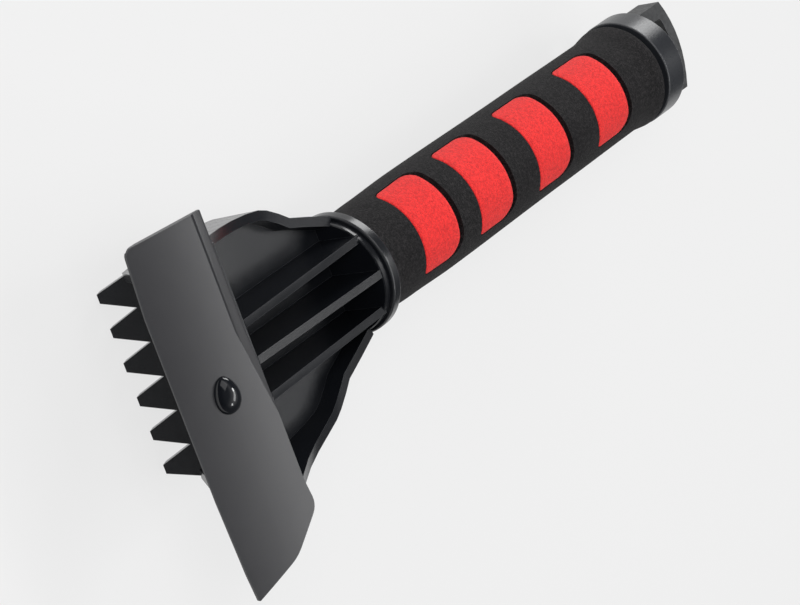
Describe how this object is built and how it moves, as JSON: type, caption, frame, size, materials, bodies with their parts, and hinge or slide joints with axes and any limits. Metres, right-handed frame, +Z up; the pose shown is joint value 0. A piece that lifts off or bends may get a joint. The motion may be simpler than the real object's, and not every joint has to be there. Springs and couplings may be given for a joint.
{
  "type": "windshield ice scraper",
  "caption": "Hand ice scraper with a pointed blade on a ribbed flared head, blunt ice-breaking teeth, and a round foam-covered tube handle with a hanging loop.",
  "frame": {"origin": "middle of the object's footprint, at the level of the teeth's tips", "axes": "+X along the handle's axis towards the head, +Y along the blade towards its point, +Z up, away from the teeth"},
  "size_m": [0.275, 0.1028, 0.0533],
  "materials": {
    "gloss_black_plastic": "glossy moulded, satin on the edges",
    "blade_grey_plastic": "satin",
    "slate_plastic": "satin with soft highlights",
    "textured_black_plastic": "fine spark-eroded texture",
    "washer_rubber": "matte",
    "black_foam": "closed-cell foam, fine speckle",
    "red_foam": "closed-cell foam, fine speckle",
    "tube_aluminium": "drawn",
    "zinc_steel": "zinc plated"
  },
  "bodies": {
    "root": {"head_body": "gloss_black_plastic", "scraper_blade": "blade_grey_plastic", "blade_stud": "gloss_black_plastic", "stud_push_nut": "zinc_steel", "collar_ring": "slate_plastic", "handle_tube": "tube_aluminium", "neck_pin": "zinc_steel", "tail_pin": "zinc_steel", "foam_grip": "black_foam", "grip_inlay_1": "red_foam", "grip_inlay_2": "red_foam", "grip_inlay_3": "red_foam", "grip_inlay_4": "red_foam", "tail_washer": "washer_rubber", "tail_ring": "slate_plastic", "end_plug": "textured_black_plastic"}
  },
  "joints": []
}
